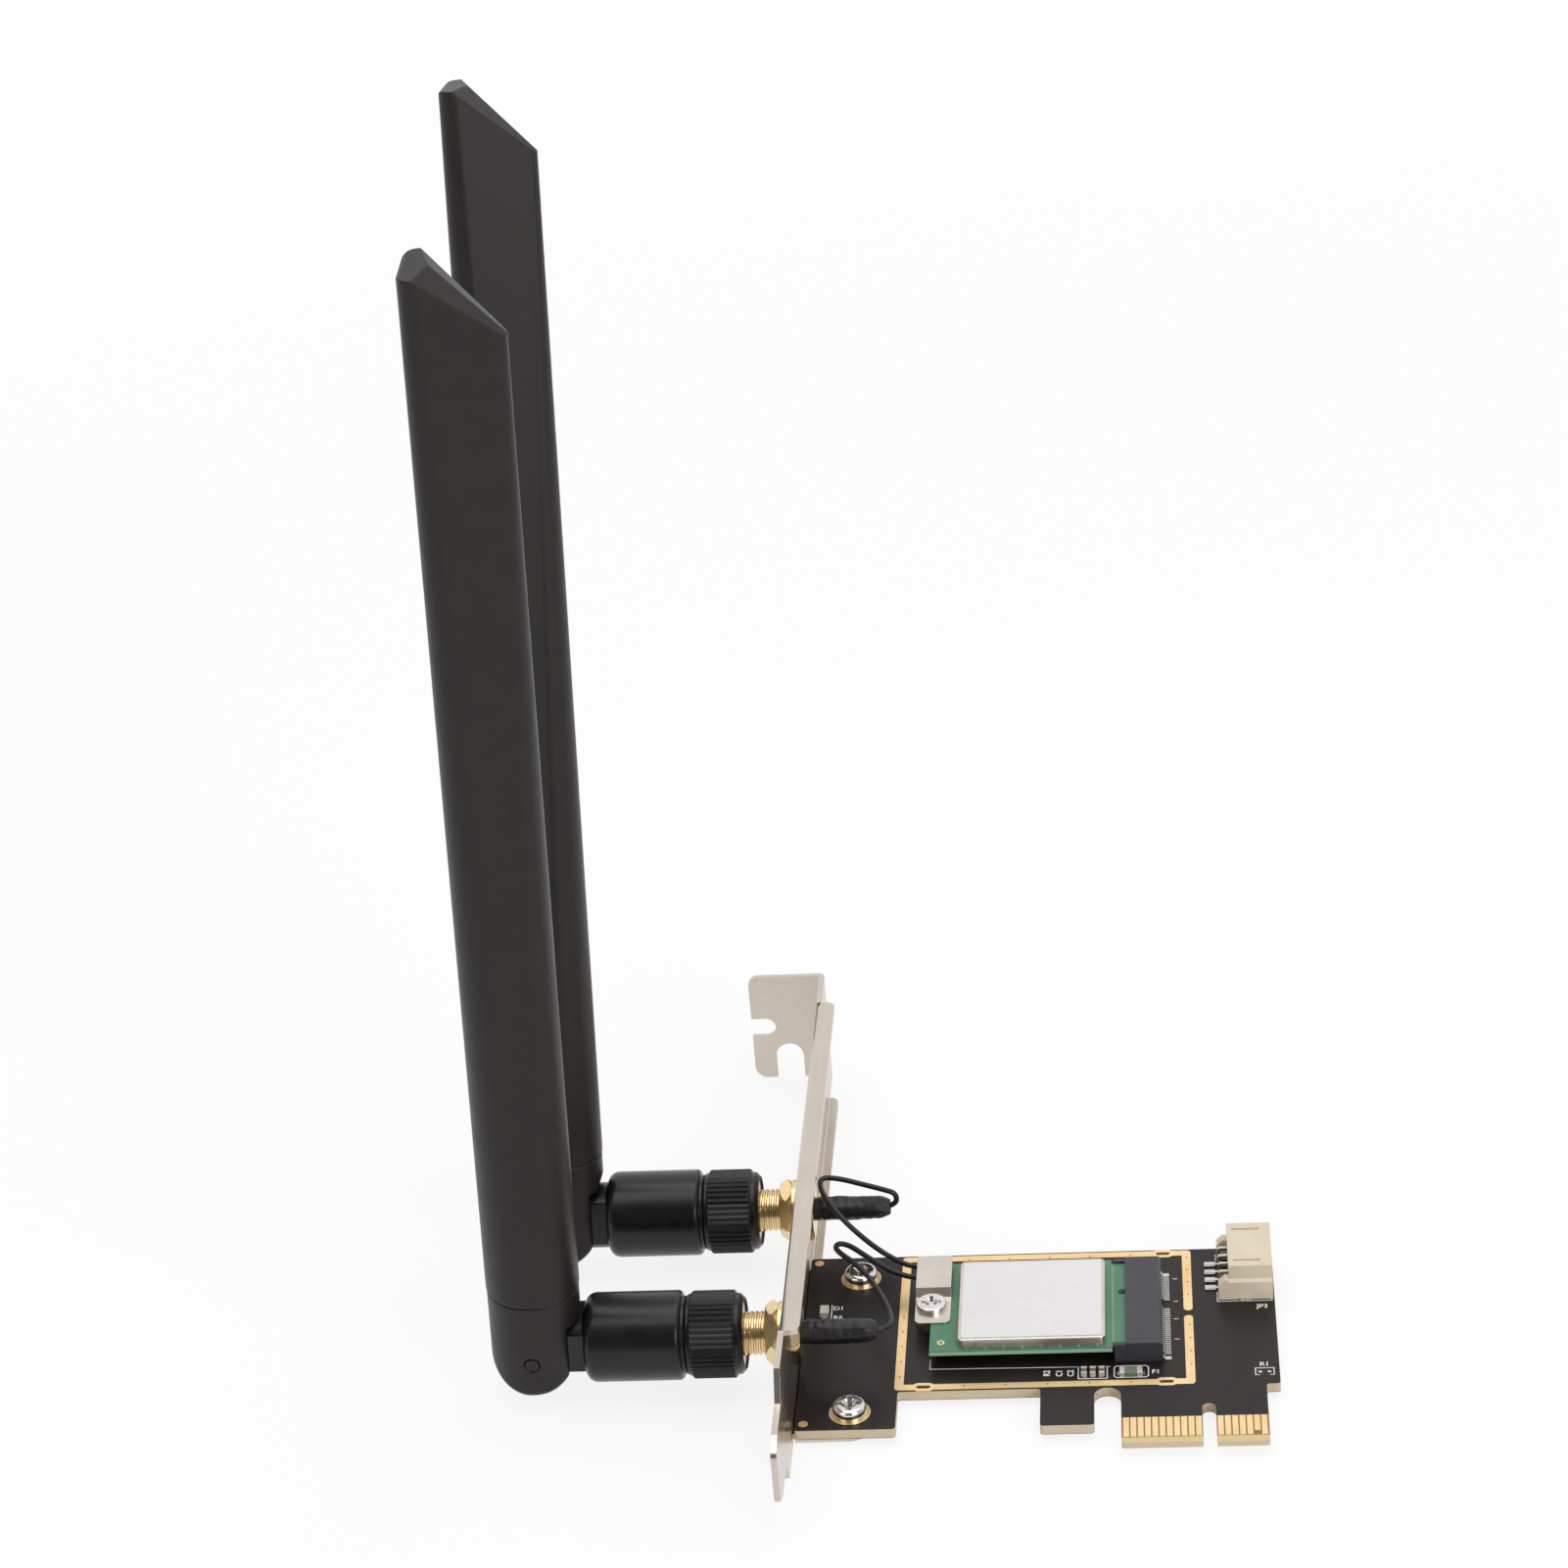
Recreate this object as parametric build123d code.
from build123d import *
import math
import os

os.makedirs("parts", exist_ok=True)

# Expansion card with a plug-in radio module and two hinged antennas, in mm.
# Origin: key notch of the edge connector, front edge of the tongue, mid-plane of the board.
# +X runs from the bracket to the free end of the card, +Y from the contacts to the bracket tab.

# Card board
board_t = 1.57
board_top = board_t / 2
board_right = 10.1
board_back = 46.6
shoulder_y = 12.8
lobe_front = 4.1
lobe_right = -43.5
blank_left = -23.4
blank_right = -15.9
tongue_left = -12.15
tongue_right = 8.15
gap_top = 12.7
gap_x = (blank_right + tongue_left) / 2
gap_r = (tongue_left - blank_right) / 2
key_w = 1.9
key_depth = 8.5
board_corner_r = 0.5
bevel_len = 0.85
bevel_depth = 0.35
cut_over = 1.0

# Edge contacts
pad_pitch = 1.0
pad_w = 0.8
pad_end = 5.4
pad_gap = 0.1
pad_start = bevel_len + pad_gap
pad_short = 0.9
pad_short_x = 6.5
pad_first_left = -11.5
pad_count_left = 11
pad_first_right = 1.5
pad_count_right = 7
copper_t = 0.05

# Ground frame on the board
frame_left = -44.0
frame_right = -1.7
frame_front = 13.0
frame_back = 46.3
frame_strip = 1.3
frame_corner_r = 0.6
split_front = 29.7
split_back = 30.9
oval_len = 2.0
oval_w = 0.7
oval_rim = 0.6
oval_left_x = -39.9
oval_right_x = -5.75
oval_inset = 0.7

# Bracket
sheet = 0.86
bracket_len = 120.02
bracket_w = 18.42
plate_inner = -57.85
plate_outer = plate_inner - sheet
bracket_top = board_top - board_t - sheet + bracket_w
bracket_low = bracket_top - bracket_w
axis_z = bracket_low + bracket_w / 2
tip_y = -16.06
tab_y = tip_y + bracket_len
tab_len = 11.43
tab_left = plate_outer - tab_len
tongue_w = 10.19
neck_y = -6.0
neck_rise = 2.5
tip_taper = 3.0
tip_narrow = 1.2
tip_r = 1.2
bend_r = 0.25
board_left = plate_inner + bend_r
foot_len = 21.46
head_len = 9.26
flange_front = tip_y + foot_len
flange_back = tab_y - head_len
flange_top_w = 2.95
flange_low_w = 2.35
flange_r = 1.2
ear_reach = 12.0
ear_w = 7.0
tab_top_r = 1.5
tab_low_r = 2.0
screw_slot_w = 3.26
screw_slot_end = -66.3
notch_x = -64.4
notch_w = 4.4
notch_top = 4.5

# Screws of the board
screw_x = -50.0
screw_near_y = 8.1
screw_far_y = 41.2
screw_head_r = 2.4
screw_head_h = 1.6
screw_dome = 0.7
screw_r = 1.3
screw_below = 0.3
screw_clear = 0.15
recess_len = 3.3
recess_w = 0.75
recess_deep = 1.0
recess_flare = 0.7

# Radio module and its socket
module_left = -39.1
module_len = 30.0
module_w = 22.0
module_cy = 29.5
module_t = 0.8
module_rise = 1.8
module_low = board_top + module_rise
module_top = module_low + module_t
module_tongue_w = 19.85
module_tongue_len = 4.1
module_key_y = 32.3
module_key_w = 1.2
module_key_deep = 3.3
moon_r = 1.75
socket_left = -11.3
socket_right = -6.1
socket_half = 10.85
socket_h = 3.15
socket_chamfer = 0.35
socket_arm = 1.6
socket_arm_h = 2.9
socket_slot_back = -8.9
socket_play = 0.1
socket_wall = 0.75
tail_w = 0.24
tail_t = 0.16
tail_pitch = 0.5
tail_out = 1.15
tail_rise = 0.5
tail_front = 20.2
tail_front_count = 23
tail_back = 33.55
tail_back_count = 12
nail_w = 0.8
nail_inset = 0.5
shield_left = -35.1
shield_right = -14.1
shield_front = 19.0
shield_back = 38.9
shield_h = 1.5
shield_r = 0.9
shield_edge = 0.25
label_inset = 0.55
label_t = 0.06

# Standoff, screw and plug clip
standoff_r = 2.4
standoff_bore = 0.9
boss_r = 1.6
boss_gap = 0.06
small_head_r = 2.2
small_head_h = 0.75
small_dome = 0.3
small_shank_r = 0.8
small_floor = 0.3
small_recess_len = 2.9
small_recess_w = 0.6
small_recess_deep = 0.5
clip_t = 0.25
clip_left = -41.4
clip_right = -36.3
clip_front = 25.3
clip_step_front = 31.8
clip_step_back = 32.6
clip_back = 40.5
clip_top = 4.85
clip_corner_r = 1.0
clip_hole_r = 1.0

# Coax plugs, receptacles and pigtails
plug_x = -38.0
plug_far_y = 39.1
plug_near_y = 36.4
plug_r = 1.0
plug_wall = 0.15
plug_roof = 0.3
plug_gap = 0.06
crimp_w = 1.0
crimp_h = 0.95
crimp_end = -40.2
jack_side = 1.9
jack_base_t = 0.1
jack_ring_r = 0.7
jack_ring_wall = 0.2
jack_ring_h = 0.55
coax_r = 0.405
coax_rise = 0.56
coax_z = module_top + coax_rise
run_share = 0.45

# Side-entry header
header_left = 3.6
header_right = 9.9
header_front = 33.4
header_back = 45.3
header_h = 5.5
header_ledge = 2.9
header_step = 0.4
header_post = 1.6
header_post_x = 2.1
header_post_h = 3.3
header_post_cut = 0.9
header_wall = 0.65
header_rear_wall = 1.0
header_side_wall = 1.3
groove_w = 0.45
groove_deep = 0.35
groove_left = 4.3
groove_right = 8.2
pin_pitch = 2.0
pin_count = 4
pin_w = 0.5
pin_z = 2.8
pin_tip = 8.5
pin_bend = 2.4
pin_tail = 0.3
header_nail_w = 1.7
header_nail_out = 0.9
header_nail_left = 5.2

# Small surface-mount parts
led_x = -54.9
led_y = 32.35
led_l = 2.0
led_w = 1.25
led_h = 0.8
chip_x = (-17.3, -16.05, -14.8)
chip_y = 16.0
chip_l = 1.6
chip_w = 0.8
chip_h = 0.7
fuse_x = -10.7
fuse_y = 15.8
fuse_l = 3.2
fuse_w = 1.6
fuse_h = 0.7
terminal = 0.35
terminal_cap = 0.04

# Bulkhead connectors
near_y = 18.2
far_y = 49.8
hex_across = 8.0
hex_inner_h = 1.0
thread_r = 3.15
thread_len = 10.0
hole_clear = 0.12
thread_clear = 0.06
washer_t = 1.2
washer_r = 4.4
nut_h = 1.9
nut_chamfer = 0.7
nut_chamfer_len = 0.85
flange_chamfer = 0.5
nut_near_turn = -9.0
nut_far_turn = 10.5
socket_bore = 2.2
socket_depth = 8.0
insulator_gap = 0.05
insulator_set = 1.6
centre_pin_r = 0.46
crimp_tail_r = 1.3
crimp_tail_len = 5.0
shrink_r = 1.875
shrink_tip_r = 1.3
shrink_taper = 1.8
shrink_near_end = -46.1
shrink_far_end = -45.6
shrink_gap = 0.06

# Coupling nut
ring_front = -64.8
sleeve_front = -66.0
sleeve_rear = -73.1
sleeve_r = 6.2
ring_r = 5.7
ring_chamfer = 0.6
flute_count = 46
flute_deep = 0.28
sleeve_bevel = 0.3
sleeve_lip = 0.7
lip_r = 5.75
lip_round = 0.3
insert_r = 5.0
insert_gap = 0.04
ring_lip = 0.3
insert_front = ring_front - ring_lip
insert_rear = -72.7
insert_cavity_r = 4.3
insert_cavity_front = -69.4
insert_cavity_rear = -71.4
ferrule_r = 3.2
ferrule_flange_r = 4.1
ferrule_front = -69.7
ferrule_flange_rear = -71.1
ferrule_rear = -79.0
ferrule_bore = 1.1
ferrule_clear = 0.08

# Antenna stem and hinge
barrel_front = -73.6
barrel_rear = -87.5
barrel_r = 6.35
barrel_edge_rear = 1.6
barrel_edge_front = 0.7
collar_r = 5.5
collar_out = 0.45
collar_front = barrel_front + collar_out
pivot_x = -94.8
neck_r = 4.85
neck_flat = 3.8
block_len = 3.0
block_top = 3.55
block_crease = -0.3
block_low = -3.55
block_low_half = 3.3
hinge_play = 0.5
hinge_side_play = 0.2
hinge_pin_r = 1.0
hinge_pin_half = 5.8
pin_fit = 0.03
pin_run = 0.06
pin_sink = 0.3
pin_sink_r = 1.75

# Antenna blade, in its own frame: pivot at the origin, blade upward
lean = 6.6
near_tilt = 3.2
far_tilt = 1.55
seam_z = 10.55
blade_tip = 172.0
low_back = -6.5
low_half = 6.0
low_back_r = 5.9
low_front = 6.7
low_front_r = 5.9
top_back = -6.2
top_half = 4.5
top_back_r = 2.0
top_front = 6.3
top_front_r = 0.9
seam_step = 0.1
seam_bevel = 0.2
knuckle_low = -6.05
knuckle_drop = -0.8
cheek_low_z = -2.7
chamfer_top_z = 8.0
chamfer_top_x = 6.9
chamfer_low_z = 3.8
chamfer_low_x = 5.4
knuckle_round = 2.0
cheek_round = 1.0
column_low = -7.0
column_half = 8.0
ridge_left_x = -2.7
ridge_left_z = 169.5
ridge_right_x = 6.4
ridge_right_z = 160.3
gable_ratio = 0.238
hip_drop = 0.2
tip_round = 1.2
bore_r = 3.3
bore_x = -0.6
bore_top = 140.0
spigot_len = 9.0
spigot_gap = 0.05
rod_r = 0.7
rod_gap = 0.05
rod_seat = 2.5
rod_top = 134.0
tube_r = 1.9
tube_low = 45.0
tube_top = 88.0
disc_low = 26.0
disc_top = 36.0


def save(shape, name):
    shape.label = name
    export_step(shape, f"parts/{name}.step")


def outline(points):
    return Polygon(*points, align=None)


def turned_x(points):
    return revolve(outline(points), axis=Axis.X)


def turned_z(points):
    return revolve(Plane.XZ * outline(points), axis=Axis.Z)


def span(x0, x1, y0, y1, z0, z1):
    face = outline([(x0, y0), (x1, y0), (x1, y1), (x0, y1)])
    return extrude(Plane.XY.offset(z0) * face, z1 - z0)


def prism_x(points, x0, x1):
    return extrude(Plane.YZ.offset(x0) * outline(points), x1 - x0)


def prism_y(points, y0, y1):
    return extrude(Plane.XZ.offset(-y1) * outline(points), y1 - y0)


# Cross recess: four arms round a mouth that narrows to the arms' width
def cross(length, width, depth, top):
    arms = Rectangle(length, width) + Rectangle(width, length)
    mouth = Cone(width / 2, recess_flare * length / 2, depth)
    return extrude(Plane.XY.offset(top) * arms, -depth) + Pos(0, 0, top - depth / 2) * mouth


def group(pieces):
    return Compound(children=list(pieces))


# Card board: one outline, then the gap, the key notch, the bevels and the holes
board_points = [
    (board_left, lobe_front), (lobe_right, lobe_front),
    (lobe_right, shoulder_y), (blank_left, shoulder_y),
    (blank_left, lobe_front), (gap_x, lobe_front),
    (gap_x, 0), (tongue_right, 0),
    (tongue_right, shoulder_y), (board_right, shoulder_y),
    (board_right, board_back), (board_left, board_back),
]
board_face = outline(board_points)
board_face = fillet(board_face.vertices(), board_corner_r)
for x, r, top in ((gap_x, gap_r, gap_top), (0, key_w / 2, key_depth)):
    board_face -= Pos(x, top - r) * Circle(r)
    board_face -= outline([
        (x - r, -cut_over), (x + r, -cut_over), (x + r, top - r), (x - r, top - r),
    ])
gap_corners = [
    v for v in board_face.vertices()
    if abs(v.X - gap_x) < gap_r + board_corner_r and v.Y < lobe_front + board_corner_r
]
board_face = fillet(gap_corners, board_corner_r)
oval_places = [
    (oval_left_x, frame_front + oval_inset), (oval_right_x, frame_front + oval_inset),
    (oval_left_x, frame_back - oval_inset), (oval_right_x, frame_back - oval_inset),
]
for place in oval_places:
    board_face -= Pos(*place) * SlotOverall(oval_len, oval_w)
screw_places = [(screw_x, screw_near_y), (screw_x, screw_far_y)]
for place in screw_places:
    board_face -= Pos(*place) * Circle(screw_r + screw_clear)
circuit_board = extrude(board_face, board_t / 2, both=True)
bevel = prism_x([
    (-cut_over, board_top - bevel_depth), (0, board_top - bevel_depth),
    (bevel_len, board_top), (bevel_len, board_top + cut_over),
    (-cut_over, board_top + cut_over),
], tongue_left - cut_over, tongue_right + cut_over)
circuit_board -= bevel
circuit_board -= mirror(bevel, about=Plane.XY)
save(circuit_board, "circuit_board")

# Edge contacts: the same row on both faces
pad_x = [pad_first_left + i * pad_pitch for i in range(pad_count_left)]
pad_x += [pad_first_right + i * pad_pitch for i in range(pad_count_right)]
pads = []
for x in pad_x:
    start = pad_start + (pad_short if x == pad_short_x else 0)
    pad = span(x - pad_w / 2, x + pad_w / 2, start, pad_end, board_top, board_top + copper_t)
    pads.append(pad)
    pads.append(mirror(pad, about=Plane.XY))
save(group(pads), "edge_contacts")

# Ground frame: strip round the module with four plated ovals and one split
frame_face = outline([
    (frame_left, frame_front), (frame_right, frame_front),
    (frame_right, frame_back), (frame_left, frame_back),
])
frame_face = fillet(frame_face.vertices(), frame_corner_r)
frame_face -= outline([
    (frame_left + frame_strip, frame_front + frame_strip),
    (frame_right - frame_strip, frame_front + frame_strip),
    (frame_right - frame_strip, frame_back - frame_strip),
    (frame_left + frame_strip, frame_back - frame_strip),
])
for place in oval_places:
    frame_face += Pos(*place) * SlotOverall(oval_len + 2 * oval_rim, oval_w + 2 * oval_rim)
frame_face -= outline([
    (frame_right - 2 * frame_strip, split_front - frame_strip / 2),
    (frame_right + frame_strip, split_front - frame_strip / 2),
    (frame_right + frame_strip, split_back + frame_strip / 2),
    (frame_right - 2 * frame_strip, split_back + frame_strip / 2),
])
for y in (split_front - frame_strip / 2, split_back + frame_strip / 2):
    frame_face += Pos(frame_right - frame_strip / 2, y) * Circle(frame_strip / 2)
for place in oval_places:
    frame_face -= Pos(*place) * SlotOverall(oval_len, oval_w)
ground_frame = extrude(Plane.XY.offset(board_top) * frame_face, copper_t)
save(ground_frame, "ground_frame")

# Bracket: channel with two flanges, plain ends, tongue, folded tab and two ears
channel_face = outline([
    (plate_outer, bracket_low), (plate_outer + flange_low_w, bracket_low),
    (plate_outer + flange_low_w, bracket_low + sheet), (plate_inner, bracket_low + sheet),
    (plate_inner, bracket_top - sheet), (plate_outer + flange_top_w, bracket_top - sheet),
    (plate_outer + flange_top_w, bracket_top), (plate_outer, bracket_top),
])
outer_corners = channel_face.vertices().group_by(Axis.X)[0]
channel_face = fillet(outer_corners, bend_r + sheet)
inner_corners = [
    v for v in channel_face.vertices()
    if abs(v.X - plate_inner) < bend_r and bracket_low < v.Y < bracket_top
    and abs(abs(v.Y - axis_z) - (bracket_w / 2 - sheet)) < bend_r / 2
]
channel_face = fillet(inner_corners, bend_r)
bracket = extrude(Plane.XZ.offset(-flange_back) * channel_face, flange_back - flange_front)
free_corners = [
    e for e in bracket.edges().filter_by(Axis.Z)
    if e.center().X > plate_inner + sheet
]
bracket = fillet(free_corners, flange_r)
tongue_low = axis_z - tongue_w / 2
tongue_top = axis_z + tongue_w / 2
foot_face = outline([
    (flange_front, bracket_top), (neck_y + neck_rise, bracket_top), (neck_y, tongue_top),
    (tip_y + tip_taper, tongue_top), (tip_y, tongue_top - tip_narrow),
    (tip_y, tongue_low + tip_narrow), (tip_y + tip_taper, tongue_low),
    (neck_y, tongue_low), (neck_y + neck_rise, bracket_low), (flange_front, bracket_low),
])
foot_face = fillet(foot_face.vertices().group_by(Axis.X)[0], tip_r)
bracket += extrude(Plane.YZ.offset(plate_outer) * foot_face, sheet)
head = prism_x([
    (flange_back, bracket_low), (tab_y, bracket_low),
    (tab_y, bracket_top), (flange_back, bracket_top),
], plate_outer, plate_inner)
tab_face = outline([
    (tab_left, bracket_low), (plate_inner, bracket_low),
    (plate_inner, bracket_top), (tab_left, bracket_top),
])
tab_low_corner = tab_face.vertices().group_by(Axis.X)[0].sort_by(Axis.Y)[0]
tab_face = fillet(tab_low_corner, tab_low_r)
tab_top_corner = tab_face.vertices().group_by(Axis.X)[0].sort_by(Axis.Y)[-1]
tab_face = fillet(tab_top_corner, tab_top_r)
slot_centre = screw_slot_end - screw_slot_w / 2
tab_face -= Pos(slot_centre, axis_z) * Circle(screw_slot_w / 2)
tab_face -= outline([
    (tab_left - cut_over, axis_z - screw_slot_w / 2), (slot_centre, axis_z - screw_slot_w / 2),
    (slot_centre, axis_z + screw_slot_w / 2), (tab_left - cut_over, axis_z + screw_slot_w / 2),
])
notch_centre = notch_top - notch_w / 2
tab_face -= Pos(notch_x, notch_centre) * Circle(notch_w / 2)
tab_face -= outline([
    (notch_x - notch_w / 2, bracket_low - cut_over), (notch_x + notch_w / 2, bracket_low - cut_over),
    (notch_x + notch_w / 2, notch_centre), (notch_x - notch_w / 2, notch_centre),
])
head += extrude(Plane.XZ.offset(-tab_y) * tab_face, sheet)
bend_inner = [
    e for e in head.edges().filter_by(Axis.Z)
    if abs(e.center().X - plate_outer) < bend_r / 4
    and abs(e.center().Y - tab_y + sheet) < bend_r / 4
]
head = fillet(bend_inner, bend_r)
bend_outer = [
    e for e in head.edges().filter_by(Axis.Z)
    if abs(e.center().X - plate_inner) < bend_r / 4
    and abs(e.center().Y - tab_y) < bend_r / 4
]
head = fillet(bend_outer, bend_r + sheet)
bracket += head
for x, y in screw_places:
    ear_end = plate_outer + ear_reach - ear_w / 2
    ear_face = outline([
        (plate_inner + bend_r, y - ear_w / 2), (ear_end, y - ear_w / 2),
        (ear_end, y + ear_w / 2), (plate_inner + bend_r, y + ear_w / 2),
    ])
    ear_face += Pos(ear_end, y) * Circle(ear_w / 2)
    ear = extrude(Plane.XY.offset(bracket_low) * ear_face, sheet)
    bracket += ear
for x, y in screw_places:
    bracket -= Pos(x, y, bracket_low) * Cylinder(screw_r + screw_clear, 3 * sheet)
for y in (near_y, far_y):
    bore = Rot(0, 90, 0) * Cylinder(thread_r + hole_clear, 3 * sheet)
    bracket -= Pos(plate_outer, y, axis_z) * bore
save(bracket, "bracket")

# Board screws: domed heads with a cross recess
head_top = board_top + screw_head_h
screw_low = bracket_low - screw_below
board_screw = turned_z([
    (0, screw_low), (screw_r, screw_low), (screw_r, board_top), (screw_head_r, board_top),
    (screw_head_r, head_top), (0, head_top),
])
board_screw = fillet(board_screw.edges().group_by(Axis.Z)[-1], screw_dome)
board_screw -= cross(recess_len, recess_w, recess_deep, head_top)
save(group([Pos(x, y, 0) * board_screw for x, y in screw_places]), "board_screws")

# Socket housing with its slot, two arms and the key
socket_top = board_top + socket_h
socket_front = module_cy - socket_half
socket_back = module_cy + socket_half
m2_socket = prism_y([
    (socket_left, board_top), (socket_right, board_top),
    (socket_right, socket_top - socket_chamfer), (socket_right - socket_chamfer, socket_top),
    (socket_left, socket_top),
], socket_front, socket_back)
for y in (socket_front, socket_back - socket_wall):
    m2_socket += span(
        socket_left - socket_arm, socket_left, y, y + socket_wall, board_top, board_top + socket_arm_h
    )
m2_socket -= span(
    socket_left - socket_arm, socket_slot_back, socket_front + socket_wall, socket_back - socket_wall,
    module_low - socket_play, module_top + socket_play
)
rib_half = module_key_w / 2 - socket_play
m2_socket += span(
    socket_left, socket_slot_back, module_key_y - rib_half, module_key_y + rib_half,
    module_low - socket_play, module_top + socket_play
)
save(m2_socket, "m2_socket")

# Socket tails in two rows with a gap at the key, and the two hold-downs
tail_points = [
    (socket_right, board_top), (socket_right + tail_out, board_top),
    (socket_right + tail_out, board_top + tail_t), (socket_right + 2 * tail_t, board_top + tail_t),
    (socket_right + tail_t, board_top + tail_rise), (socket_right, board_top + tail_rise),
]
tail_y = [tail_front + i * tail_pitch for i in range(tail_front_count)]
tail_y += [tail_back + i * tail_pitch for i in range(tail_back_count)]
tails = [prism_y(tail_points, y - tail_w / 2, y + tail_w / 2) for y in tail_y]
for y in (socket_front + nail_inset, socket_back - nail_inset):
    tails.append(prism_y(tail_points, y - nail_w / 2, y + nail_w / 2))
save(group(tails), "m2_contacts")

# Module board with the half-moon, the narrow contact end and the key notch
module_right = module_left + module_len
module_front = module_cy - module_w / 2
module_back = module_cy + module_w / 2
step_x = module_right - module_tongue_len
module_face = outline([
    (module_left, module_front), (step_x, module_front),
    (step_x, module_cy - module_tongue_w / 2), (module_right, module_cy - module_tongue_w / 2),
    (module_right, module_cy + module_tongue_w / 2), (step_x, module_cy + module_tongue_w / 2),
    (step_x, module_back), (module_left, module_back),
])
module_face -= Pos(module_left, module_cy) * Circle(moon_r)
key_round = module_right - module_key_deep + module_key_w / 2
module_face -= Pos(key_round, module_key_y) * Circle(module_key_w / 2)
key_low = module_key_y - module_key_w / 2
key_high = module_key_y + module_key_w / 2
module_face -= outline([
    (key_round, key_low), (module_right + cut_over, key_low),
    (module_right + cut_over, key_high), (key_round, key_high),
])
module_board = extrude(Plane.XY.offset(module_low) * module_face, module_t)
save(module_board, "module_board")

# Shield can and its blank label
shield_top = module_top + shield_h
shield_face = outline([
    (shield_left, shield_front), (shield_right, shield_front),
    (shield_right, shield_back), (shield_left, shield_back),
])
shield_face = fillet(shield_face.vertices(), shield_r)
module_shield = extrude(Plane.XY.offset(module_top) * shield_face, shield_h)
module_shield = fillet(module_shield.edges().group_by(Axis.Z)[-1], shield_edge)
save(module_shield, "module_shield")
label_face = outline([
    (shield_left + label_inset, shield_front + label_inset),
    (shield_right - label_inset, shield_front + label_inset),
    (shield_right - label_inset, shield_back - label_inset),
    (shield_left + label_inset, shield_back - label_inset),
])
label_face = fillet(label_face.vertices(), shield_r / 2)
module_label = extrude(Plane.XY.offset(shield_top) * label_face, label_t)
save(module_label, "module_label")

# Standoff, screw and clip at the free end of the module
module_standoff = turned_z([
    (standoff_bore, board_top), (standoff_r, board_top), (standoff_r, module_low),
    (boss_r, module_low), (boss_r, module_top - boss_gap), (standoff_bore, module_top - boss_gap),
])
module_standoff = Pos(module_left, module_cy, 0) * module_standoff
save(module_standoff, "module_standoff")
clip_low_top = module_top + clip_t
small_top = clip_low_top + small_head_h
module_screw = turned_z([
    (0, board_top + small_floor), (small_shank_r, board_top + small_floor),
    (small_shank_r, clip_low_top), (small_head_r, clip_low_top),
    (small_head_r, small_top), (0, small_top),
])
module_screw = fillet(module_screw.edges().group_by(Axis.Z)[-1], small_dome)
module_screw -= cross(small_recess_len, small_recess_w, small_recess_deep, small_top)
module_screw = Pos(module_left, module_cy, 0) * module_screw
save(module_screw, "module_screw")
plug_clip = prism_x([
    (clip_front, module_top), (clip_step_front + clip_t / 2, module_top),
    (clip_step_back + clip_t / 2, clip_top - clip_t), (clip_back, clip_top - clip_t),
    (clip_back, clip_top), (clip_step_back - clip_t / 2, clip_top),
    (clip_step_front - clip_t / 2, clip_low_top), (clip_front, clip_low_top),
], clip_left, clip_right)
front_corners = plug_clip.edges().filter_by(Axis.Z).group_by(Axis.Y)[0]
plug_clip = fillet(front_corners, clip_corner_r)
plug_clip -= Pos(module_left, module_cy, module_top) * Cylinder(clip_hole_r, 4 * clip_t)
save(plug_clip, "plug_clip")

# Coax receptacles on the module and the plugs over them
plug_top = clip_top - clip_t - plug_gap
plug_low = module_top + jack_base_t + plug_gap
jacks = []
for y in (plug_near_y, plug_far_y):
    jack = span(
        plug_x - jack_side / 2, plug_x + jack_side / 2, y - jack_side / 2, y + jack_side / 2,
        module_top, module_top + jack_base_t
    )
    ring_low = module_top + jack_base_t
    ring = Pos(plug_x, y, 0) * turned_z([
        (jack_ring_r - jack_ring_wall, ring_low), (jack_ring_r, ring_low),
        (jack_ring_r, ring_low + jack_ring_h), (jack_ring_r - jack_ring_wall, ring_low + jack_ring_h),
    ])
    jacks.append(jack + ring)
save(group(jacks), "coax_jacks")
for y, name in ((plug_near_y, "coax_plug_near"), (plug_far_y, "coax_plug_far")):
    cup = Pos(plug_x, y, 0) * turned_z([
        (0, plug_top - plug_roof), (plug_r - plug_wall, plug_top - plug_roof),
        (plug_r - plug_wall, plug_low), (plug_r, plug_low), (plug_r, plug_top), (0, plug_top),
    ])
    crimp = span(
        crimp_end, plug_x - plug_r + plug_wall / 2, y - crimp_w / 2, y + crimp_w / 2,
        plug_top - crimp_h, plug_top
    )
    save(cup + crimp, name)

# Pigtails: straight runs joined by the largest arcs they leave room for
far_route = [
    (-46.6, far_y, axis_z), (-44.7, 49.8, 7.9), (-44.6, 49.8, 9.9), (-46.6, 49.9, 10.6),
    (-49.6, 50.5, 11.2), (-53.0, 51.3, 11.8), (-55.8, 51.6, 11.9), (-55.8, 49.1, 11.5),
    (-54.2, 46.0, 10.7), (-51.6, 42.7, 9.4), (-47.7, 40.4, 6.8), (-44.2, 39.5, 4.7),
    (-41.8, plug_far_y, coax_z), (crimp_end, plug_far_y, coax_z),
]
near_route = [
    (-47.0, near_y, axis_z), (-44.7, 18.5, 7.4), (-44.2, 21.6, 7.1), (-45.5, 26.7, 6.8),
    (-48.2, 33.4, 6.5), (-50.7, 37.6, 6.2), (-52.4, 39.7, 6.05), (-53.6, 41.8, 5.9),
    (-53.1, 43.3, 5.7), (-51.5, 43.1, 5.4), (-49.3, 41.1, 5.0), (-46.0, 38.2, 4.4),
    (-43.2, 36.8, 4.05), (-41.6, plug_near_y, coax_z), (crimp_end, plug_near_y, coax_z),
]


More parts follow.
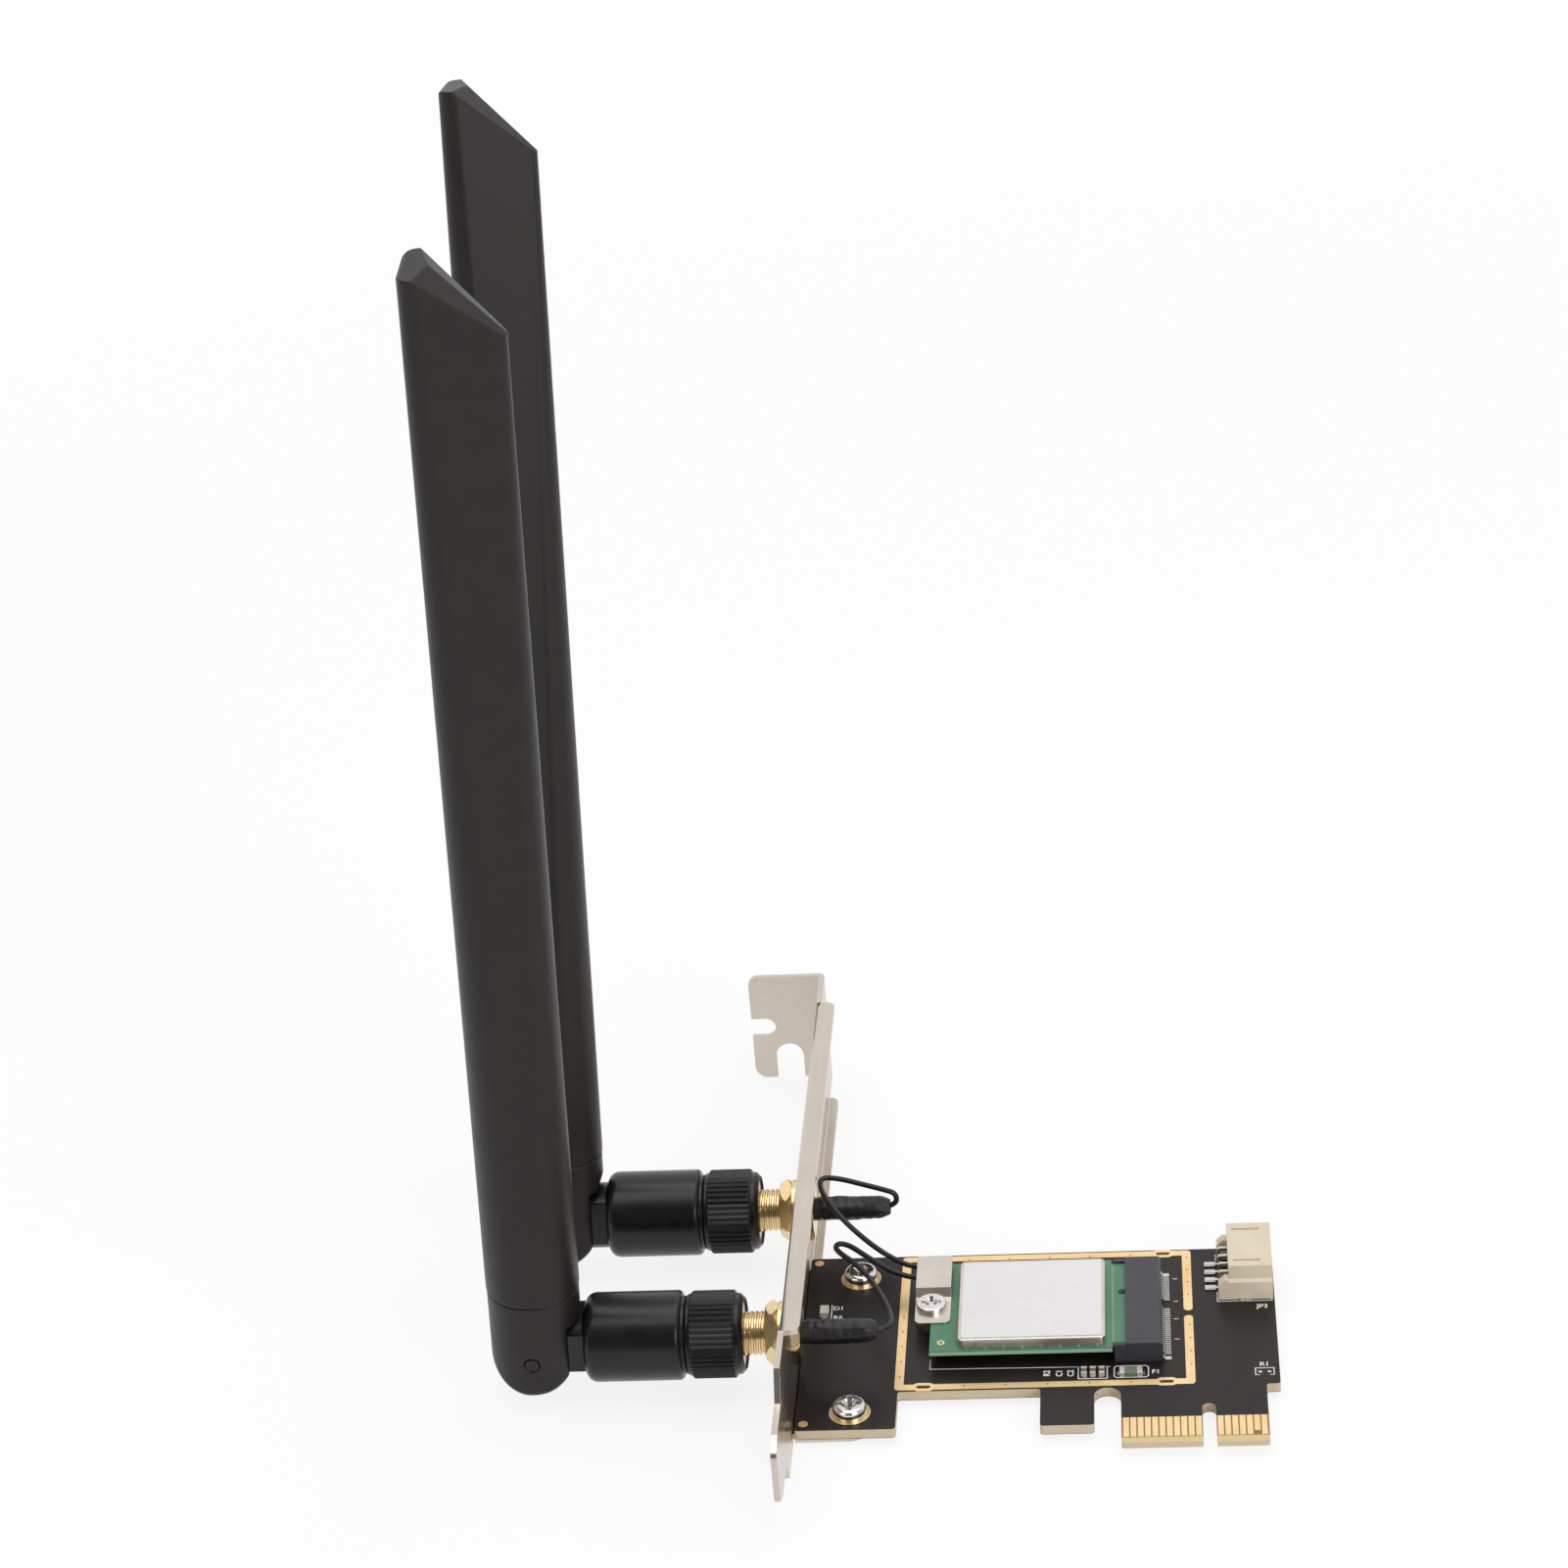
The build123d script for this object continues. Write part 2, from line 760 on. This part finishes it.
def pigtail(route, name):
    points = [Vector(*p) for p in route]
    runs = [b - a for a, b in zip(points, points[1:])]
    radii = []
    for before, after in zip(runs, runs[1:]):
        half_turn = math.radians(before.get_angle(after)) / 2
        radii.append(run_share * min(before.length, after.length) / math.tan(half_turn))
    path = FilletPolyline(*points, radius=radii)
    start = Plane(points[0], z_dir=runs[0])
    tube = sweep(start * Circle(coax_r), path=path)
    ratio = tube.volume / (math.pi * coax_r ** 2 * path.length)
    print(name, "length", round(path.length, 2), "volume ratio", round(ratio, 4))
    print(name, "radii", [round(r, 2) for r in radii])
    print(name, "runs", [round(r.length, 2) for r in runs])
    save(tube, name)


pigtail(near_route, "pigtail_near")
pigtail(far_route, "pigtail_far")

# Header housing: ledged end faces, two posts, open mouth and two grooves on top
header_top = board_top + header_h
header_cy = (header_front + header_back) / 2
ledge_z = board_top + header_ledge
usb_header = prism_x([
    (header_front, board_top), (header_back, board_top), (header_back, ledge_z),
    (header_back - header_step, ledge_z + header_step), (header_back - header_step, header_top),
    (header_front + header_step, header_top), (header_front + header_step, ledge_z + header_step),
    (header_front, ledge_z),
], header_left, header_right)
post_top = board_top + header_post_h
for y in (header_front, header_back - header_post):
    usb_header += prism_y([
        (header_post_x, board_top), (header_left, board_top), (header_left, post_top),
        (header_post_x + header_post_cut, post_top), (header_post_x, post_top - header_post_cut),
    ], y, y + header_post)
usb_header -= span(
    header_left + header_rear_wall, header_right + cut_over,
    header_front + header_side_wall, header_back - header_side_wall,
    board_top + header_wall, header_top - header_wall
)
groove_inset = 2 * header_side_wall - header_wall
for y in (header_front + groove_inset, header_back - groove_inset):
    usb_header -= span(
        groove_left, groove_right, y - groove_w / 2, y + groove_w / 2,
        header_top - groove_deep, header_top
    )
pin_y = [header_cy + (i - (pin_count - 1) / 2) * pin_pitch for i in range(pin_count)]
pin_mid = board_top + pin_z
for y in pin_y:
    usb_header -= span(
        header_left, header_left + header_rear_wall, y - pin_w / 2, y + pin_w / 2,
        pin_mid - pin_w / 2, pin_mid + pin_w / 2
    )
save(usb_header, "usb_header")
header_pins = []
for y in pin_y:
    header_pins.append(prism_y([
        (pin_tip, pin_mid - pin_w / 2), (pin_tip, pin_mid + pin_w / 2), (pin_bend, pin_mid + pin_w / 2),
        (pin_bend - pin_w / 2, pin_mid), (pin_bend - pin_w / 2, board_top + pin_w / 2),
        (pin_tail, board_top + pin_w / 2), (pin_tail, board_top), (pin_bend + pin_w / 2, board_top),
        (pin_bend + pin_w / 2, pin_mid - pin_w / 2),
    ], y - pin_w / 2, y + pin_w / 2))
for y in (header_front - header_nail_out, header_back):
    header_pins.append(span(
        header_nail_left, header_nail_left + header_nail_w, y, y + header_nail_out,
        board_top, board_top + pin_w / 2
    ))
save(group(header_pins), "usb_header_pins")


# Small surface-mount parts: body between two slightly taller end caps
def chip(x, y, along_x, along_y, height, caps_on_y):
    body = [board_top, board_top + height]
    end = [board_top, board_top + height + terminal_cap]
    x0, x1, y0, y1 = x - along_x / 2, x + along_x / 2, y - along_y / 2, y + along_y / 2
    if caps_on_y:
        solid = span(x0, x1, y0, y1, *body)
        solid += span(x0, x1, y0, y0 + terminal, *end)
        solid += span(x0, x1, y1 - terminal, y1, *end)
    else:
        solid = span(x0, x1, y0, y1, *body)
        solid += span(x0, x0 + terminal, y0, y1, *end)
        solid += span(x1 - terminal, x1, y0, y1, *end)
    return solid


save(chip(led_x, led_y, led_w, led_l, led_h, True), "status_led")
save(group([chip(x, chip_y, chip_w, chip_l, chip_h, True) for x in chip_x]), "chip_passives")
save(chip(fuse_x, fuse_y, fuse_l, fuse_w, fuse_h, False), "fuse_chip")

# Bulkhead connector parts, made on the X axis
hex_r = hex_across / math.sqrt(3)
hex_inner_end = plate_inner + hex_inner_h
thread_end = plate_outer - thread_len
bulkhead = turned_x([
    (thread_end, 0), (thread_end, thread_r), (hex_inner_end, thread_r),
    (hex_inner_end, crimp_tail_r), (hex_inner_end + crimp_tail_len, crimp_tail_r),
    (hex_inner_end + crimp_tail_len, 0),
])
hex_flange = extrude(Plane.YZ.offset(plate_inner) * RegularPolygon(hex_r, 6), hex_inner_h)
hex_flange &= turned_x([
    (plate_inner, 0), (plate_inner, hex_r), (hex_inner_end - flange_chamfer, hex_r),
    (hex_inner_end, hex_r - flange_chamfer), (hex_inner_end, 0),
])
bulkhead += hex_flange
bulkhead -= turned_x([
    (thread_end - cut_over, 0), (thread_end - cut_over, socket_bore),
    (thread_end + socket_depth, socket_bore), (thread_end + socket_depth, 0),
])
insulator_front = thread_end + insulator_set
bulkhead_insulator = turned_x([
    (insulator_front, centre_pin_r), (insulator_front, socket_bore - insulator_gap),
    (thread_end + socket_depth, socket_bore - insulator_gap), (thread_end + socket_depth, centre_pin_r),
])
bulkhead_pin = turned_x([
    (thread_end, 0), (thread_end + centre_pin_r, centre_pin_r),
    (thread_end + socket_depth, centre_pin_r), (thread_end + socket_depth, 0),
])
lock_washer = turned_x([
    (plate_outer - washer_t, thread_r + thread_clear), (plate_outer - washer_t, washer_r),
    (plate_outer, washer_r), (plate_outer, thread_r + thread_clear),
])
nut_rear = plate_outer - washer_t
bulkhead_nut = extrude(Plane.YZ.offset(nut_rear) * RegularPolygon(hex_r, 6), -nut_h)
bulkhead_nut &= turned_x([
    (nut_rear - nut_h, 0), (nut_rear - nut_h, hex_r - nut_chamfer),
    (nut_rear - nut_h + nut_chamfer_len, hex_r), (nut_rear - nut_chamfer_len, hex_r),
    (nut_rear, hex_r - nut_chamfer), (nut_rear, 0),
])
bulkhead_nut -= turned_x([
    (nut_rear - nut_h, 0), (nut_rear - nut_h, thread_r + thread_clear),
    (nut_rear, thread_r + thread_clear), (nut_rear, 0),
])


def heat_shrink(end):
    tail = hex_inner_end + crimp_tail_len + shrink_gap
    return turned_x([
        (hex_inner_end, crimp_tail_r + shrink_gap), (hex_inner_end, shrink_r),
        (end - shrink_taper, shrink_r), (end, shrink_tip_r), (end, 0),
        (tail, 0), (tail, crimp_tail_r + shrink_gap),
    ])


# Coupling nut: fluted sleeve with a front ring, over a threaded insert
flute_points = []
for i in range(2 * flute_count):
    angle = math.pi * i / flute_count
    radius = sleeve_r if i % 2 == 0 else sleeve_r - flute_deep
    flute_points.append((radius * math.cos(angle), radius * math.sin(angle)))
flutes_rear = sleeve_rear + sleeve_lip
flutes_len = sleeve_front - flutes_rear
coupling_sleeve = extrude(Plane.YZ.offset(flutes_rear) * outline(flute_points), flutes_len)
coupling_sleeve &= turned_x([
    (flutes_rear, 0), (flutes_rear, sleeve_r - sleeve_bevel), (flutes_rear + sleeve_bevel, sleeve_r),
    (sleeve_front - sleeve_bevel, sleeve_r), (sleeve_front, sleeve_r - sleeve_bevel), (sleeve_front, 0),
])
coupling_sleeve += turned_x([
    (sleeve_rear, 0), (sleeve_rear, lip_r - lip_round), (sleeve_rear + lip_round, lip_r),
    (flutes_rear + sleeve_bevel, lip_r), (flutes_rear + sleeve_bevel, 0),
])
coupling_sleeve += turned_x([
    (sleeve_front - sleeve_bevel, 0), (sleeve_front - sleeve_bevel, ring_r),
    (ring_front - ring_chamfer, ring_r), (ring_front, ring_r - ring_chamfer), (ring_front, 0),
])
coupling_sleeve -= turned_x([
    (insert_rear, 0), (insert_rear, insert_r + insert_gap),
    (ring_front, insert_r + insert_gap), (ring_front, 0),
])
coupling_sleeve -= turned_x([
    (sleeve_rear, 0), (sleeve_rear, ferrule_r + ferrule_clear),
    (insert_rear, ferrule_r + ferrule_clear), (insert_rear, 0),
])
coupling_insert = turned_x([
    (insert_front, thread_r + thread_clear), (insert_front, insert_r),
    (insert_rear, insert_r), (insert_rear, ferrule_r + ferrule_clear),
    (insert_cavity_rear, ferrule_r + ferrule_clear), (insert_cavity_rear, insert_cavity_r),
    (insert_cavity_front, insert_cavity_r), (insert_cavity_front, thread_r + thread_clear),
])

# Stem: round barrel, collar and a flat-sided neck with a stepped root and a ball end at the pivot
ferrule = turned_x([
    (ferrule_front, ferrule_bore), (ferrule_front, ferrule_flange_r),
    (ferrule_flange_rear, ferrule_flange_r), (ferrule_flange_rear, ferrule_r),
    (ferrule_rear, ferrule_r), (ferrule_rear, ferrule_bore),
])
barrel = turned_x([
    (barrel_rear, 0), (barrel_rear, barrel_r), (barrel_front, barrel_r), (barrel_front, 0),
])
rims = barrel.edges().filter_by(GeomType.CIRCLE).sort_by(Axis.X)
barrel = fillet(rims[0], barrel_edge_rear)
rims = barrel.edges().filter_by(GeomType.CIRCLE).sort_by(Axis.X)
barrel = fillet(rims[-1], barrel_edge_front)
collar = turned_x([
    (barrel_front - cut_over, 0), (barrel_front - cut_over, collar_r),
    (collar_front, collar_r), (collar_front, 0),
])
neck_root = barrel_rear + cut_over
neck_tip = pivot_x - neck_r
neck_bow = neck_r * math.sqrt(2) / 2
neck = revolve(make_face([
    ThreePointArc((neck_tip, 0), (pivot_x - neck_bow, neck_bow), (pivot_x, neck_r)),
    Line((pivot_x, neck_r), (neck_root, neck_r)),
    Line((neck_root, neck_r), (neck_root, 0)),
    Line((neck_root, 0), (neck_tip, 0)),
]), axis=Axis.X)
neck &= span(
    neck_tip - cut_over, neck_root + cut_over, -neck_flat, neck_flat, -2 * neck_r, 2 * neck_r
)
neck_block = prism_x([
    (-block_low_half, block_low), (block_low_half, block_low), (neck_flat, block_crease),
    (neck_flat, block_top), (-neck_flat, block_top), (-neck_flat, block_crease),
], barrel_rear - block_len, neck_root)
stem = barrel + collar + neck + neck_block
stem -= turned_x([
    (ferrule_rear, 0), (ferrule_rear, ferrule_r + insert_gap),
    (collar_front, ferrule_r + insert_gap), (collar_front, 0),
])
stem -= Pos(pivot_x, 0, 0) * (Rot(90, 0, 0) * Cylinder(hinge_pin_r + pin_run, 4 * neck_r))


# Blade section: two equal back corners and one front edge, joined by their common tangents
def wedge(back_x, half, back_r, front_x, front_r):
    corner = Vector(back_x + back_r, half - back_r)
    front = Vector(front_x - front_r, 0)
    across = front - corner
    lean_in = math.atan2(across.Y, across.X)
    normal = lean_in + math.acos((back_r - front_r) / across.length)
    half_way = (math.pi + normal) / 2
    back_end = corner + Vector(math.cos(normal), math.sin(normal)) * back_r
    back_mid = corner + Vector(math.cos(half_way), math.sin(half_way)) * back_r
    front_end = front + Vector(math.cos(normal), math.sin(normal)) * front_r
    up = [
        (back_x, corner.Y), (back_mid.X, back_mid.Y), (back_end.X, back_end.Y),
        (front_end.X, front_end.Y),
    ]
    down = [(x, -y) for x, y in up]
    edges = [
        Line(up[0], down[0]),
        ThreePointArc(down[0], down[1], down[2]),
        Line(down[2], down[3]),
        ThreePointArc(down[3], (front_x, 0), up[3]),
        Line(up[3], up[2]),
        ThreePointArc(up[2], up[1], up[0]),
    ]
    return make_face(edges)


def low_wedge(inset):
    return wedge(
        low_back + inset, low_half - inset, low_back_r - inset, low_front - inset, low_front_r - inset
    )


low_section = low_wedge(0)
rim_section = low_wedge(seam_bevel)
top_section = wedge(top_back, top_half, top_back_r, top_front, top_front_r)
cap_section = low_wedge(seam_step)
cap_rim_section = low_wedge(seam_step + seam_bevel)

blade = loft([
    Plane.XY.offset(seam_z) * rim_section, Plane.XY.offset(seam_z + seam_bevel) * low_section,
    Plane.XY.offset(blade_tip) * top_section,
], ruled=True)
ridge_start = Vector(ridge_left_x, 0, ridge_left_z)
ridge_run = Vector(ridge_right_x, 0, ridge_right_z) - ridge_start
gable_reach = 2 * column_half
gable = outline([
    (0, 0), (gable_reach, -gable_reach * gable_ratio), (gable_reach, -2 * blade_tip),
    (-gable_reach, -2 * blade_tip), (-gable_reach, -gable_reach * gable_ratio),
])
gable_plane = Plane(ridge_start, x_dir=(0, 1, 0), z_dir=ridge_run)
gable_up = gable_plane.y_dir.Z
if gable_up < 0:
    gable_plane = Plane(ridge_start, x_dir=(0, -1, 0), z_dir=ridge_run)
blade &= extrude(gable_plane * gable, blade_tip, both=True)
ridge_slope = (ridge_right_z - ridge_left_z) / (ridge_right_x - ridge_left_x)
side_face = outline([
    (low_back, 0), (column_half, 0),
    (column_half, ridge_left_z + (column_half - ridge_left_x) * ridge_slope),
    (ridge_left_x, ridge_left_z), (low_back, ridge_left_z - hip_drop),
])
side_face = fillet(side_face.vertices().sort_by(Axis.Y)[-2:], tip_round)
blade &= extrude(Plane.XZ * side_face, column_half, both=True)
blade_bore = Pos(bore_x, 0, (seam_z + bore_top) / 2) * Cylinder(bore_r, bore_top - seam_z)
blade -= blade_bore

# Knuckle: round-bottomed cap with a slot that clears the neck from bent to straight
knuckle = loft([
    Plane.XY.offset(column_low) * cap_section, Plane.XY.offset(seam_z - seam_bevel) * cap_section,
    Plane.XY.offset(seam_z) * cap_rim_section,
], ruled=True)
knuckle_side = make_face([
    ThreePointArc((low_back, knuckle_drop), (0, knuckle_low), (chamfer_low_x, cheek_low_z)),
    Line((chamfer_low_x, cheek_low_z), (chamfer_low_x, chamfer_low_z)),
    Line((chamfer_low_x, chamfer_low_z), (chamfer_top_x, chamfer_top_z)),
    Line((chamfer_top_x, chamfer_top_z), (chamfer_top_x, seam_z)),
    Line((chamfer_top_x, seam_z), (low_back, seam_z)),
    Line((low_back, seam_z), (low_back, knuckle_drop)),
])
low_corner = knuckle_side.vertices().group_by(Axis.Y)[0]
knuckle_side = fillet(low_corner, knuckle_round)
knuckle &= extrude(Plane.XZ * knuckle_side, column_half, both=True)
under = knuckle.edges().filter_by(
    lambda e: e.center().Z < knuckle_low / 2 and abs(e.center().Y) > cheek_round
)
knuckle = fillet(under, cheek_round)
slot_r = neck_r + hinge_play
slot_half = neck_flat + hinge_side_play
slot = Sphere(slot_r)
slot += Pos(0, 0, -column_half / 2) * Cylinder(slot_r, column_half)
slot += span(0, column_half, -slot_half, slot_half, -column_half, slot_r)
slot &= span(-column_half, column_half, -slot_half, slot_half, -column_half, column_half)
knuckle -= slot
knuckle += Pos(bore_x, 0, seam_z + spigot_len / 2) * Cylinder(bore_r - spigot_gap, spigot_len)
seat_low = seam_z + spigot_len - rod_seat
knuckle -= Pos(bore_x, 0, seat_low + rod_seat / 2) * Cylinder(rod_r + rod_gap, rod_seat)
knuckle -= Rot(90, 0, 0) * Cylinder(hinge_pin_r + pin_fit, 4 * column_half)
sink_start = hinge_pin_half - pin_sink
sink_end = sink_start + pin_sink_r - hinge_pin_r
sink = revolve(outline([
    (0, sink_start), (hinge_pin_r, sink_start), (pin_sink_r, sink_end), (0, sink_end),
]), axis=Axis.Y)
knuckle -= sink
knuckle -= mirror(sink, about=Plane.XZ)
hinge_pin = Rot(90, 0, 0) * Cylinder(hinge_pin_r, 2 * hinge_pin_half)
radiator = Pos(bore_x, 0, 0) * turned_z([
    (0, seat_low), (rod_r, seat_low), (rod_r, disc_low), (tube_r, disc_low), (tube_r, disc_top),
    (rod_r, disc_top), (rod_r, tube_low), (tube_r, tube_low), (tube_r, tube_top),
    (rod_r, tube_top), (rod_r, rod_top), (0, rod_top),
])

# Near and far sets: the antennas lean apart, each with its own small tilt
for side, y, turn, tilt, nut_turn, shrink_end in (
    ("near", near_y, lean, near_tilt, nut_near_turn, shrink_near_end),
    ("far", far_y, -lean, far_tilt, nut_far_turn, shrink_far_end),
):
    on_axis = Pos(0, y, axis_z)
    save(on_axis * bulkhead, f"bulkhead_{side}")
    save(on_axis * bulkhead_insulator, f"bulkhead_insulator_{side}")
    save(on_axis * bulkhead_pin, f"bulkhead_pin_{side}")
    save(on_axis * lock_washer, f"lock_washer_{side}")
    save(on_axis * Rot(nut_turn, 0, 0) * bulkhead_nut, f"bulkhead_nut_{side}")
    save(on_axis * heat_shrink(shrink_end), f"heat_shrink_{side}")
    save(on_axis * coupling_sleeve, f"coupling_sleeve_{side}")
    save(on_axis * coupling_insert, f"coupling_insert_{side}")
    save(on_axis * ferrule, f"ferrule_{side}")
    leaning = on_axis * Rot(turn, 0, 0)
    save(leaning * stem, f"stem_{side}")
    at_pivot = leaning * Pos(pivot_x, 0, 0) * Rot(0, tilt, 0)
    save(at_pivot * blade, f"blade_{side}")
    save(at_pivot * knuckle, f"knuckle_{side}")
    save(at_pivot * hinge_pin, f"hinge_pin_{side}")
    save(at_pivot * radiator, f"radiator_{side}")
